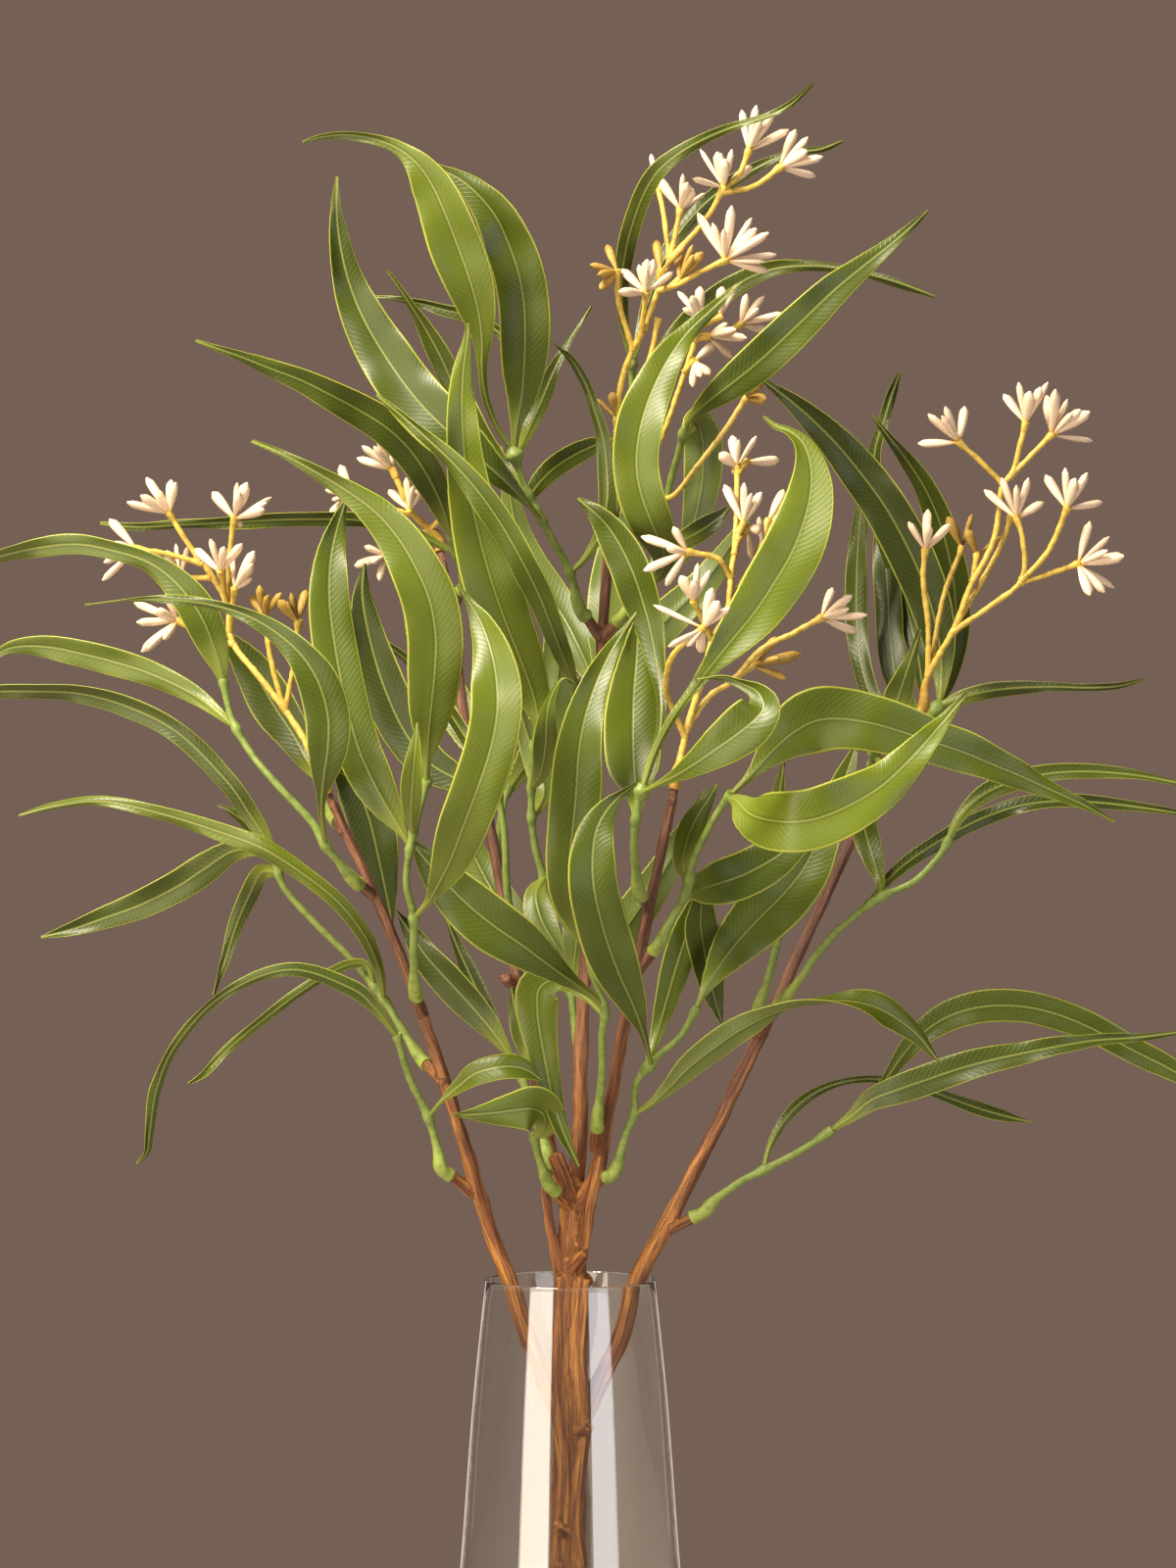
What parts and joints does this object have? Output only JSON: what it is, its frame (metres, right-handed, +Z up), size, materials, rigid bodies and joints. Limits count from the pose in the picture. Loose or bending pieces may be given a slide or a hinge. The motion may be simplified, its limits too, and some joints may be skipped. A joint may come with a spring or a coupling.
{
  "type": "seeded eucalyptus stem in a glass vase",
  "caption": "Branching eucalyptus stem with long curved leaves and white bud sprays, standing in a tall tapered clear glass vase.",
  "frame": {"origin": "centre of the vase's flat foot", "axes": "+Z up along the vase, +X to the right in the picture, +Y away from the viewer"},
  "size_m": [0.524, 0.3064, 0.7877],
  "materials": {
    "glass": "clear polished glass",
    "bark": "matte fibrous bark",
    "leaf": "satin leaf green",
    "buds": "matte cream buds on yellow stalks"
  },
  "bodies": {
    "root": {"vase": "glass", "branch": "bark", "sprig_left_low": "leaf", "sprig_left_long": "leaf", "sprig_left_front": "leaf", "sprig_left_outer": "leaf", "sprig_left_back": "leaf", "sprig_crown_left": "leaf", "sprig_crown_right": "leaf", "sprig_crown_top": "leaf", "sprig_middle_left": "leaf", "sprig_middle_band": "leaf", "sprig_rear_upper": "leaf", "sprig_rear_middle": "leaf", "sprig_fork_left": "leaf", "sprig_fork_front": "leaf", "sprig_centre_left": "leaf", "sprig_centre_right": "leaf", "sprig_centre_fan": "leaf", "sprig_centre_front": "leaf", "sprig_right_tip_front": "leaf", "sprig_right_tip": "leaf", "sprig_right_long": "leaf", "sprig_right_inner": "leaf", "sprig_right_low": "leaf", "sprig_rear_low": "leaf", "sprig_rear_high": "leaf", "sprig_rear_left": "leaf", "spray_left": "buds", "spray_rear": "buds", "spray_top": "buds", "spray_centre": "buds", "spray_right": "buds"}
  },
  "joints": []
}
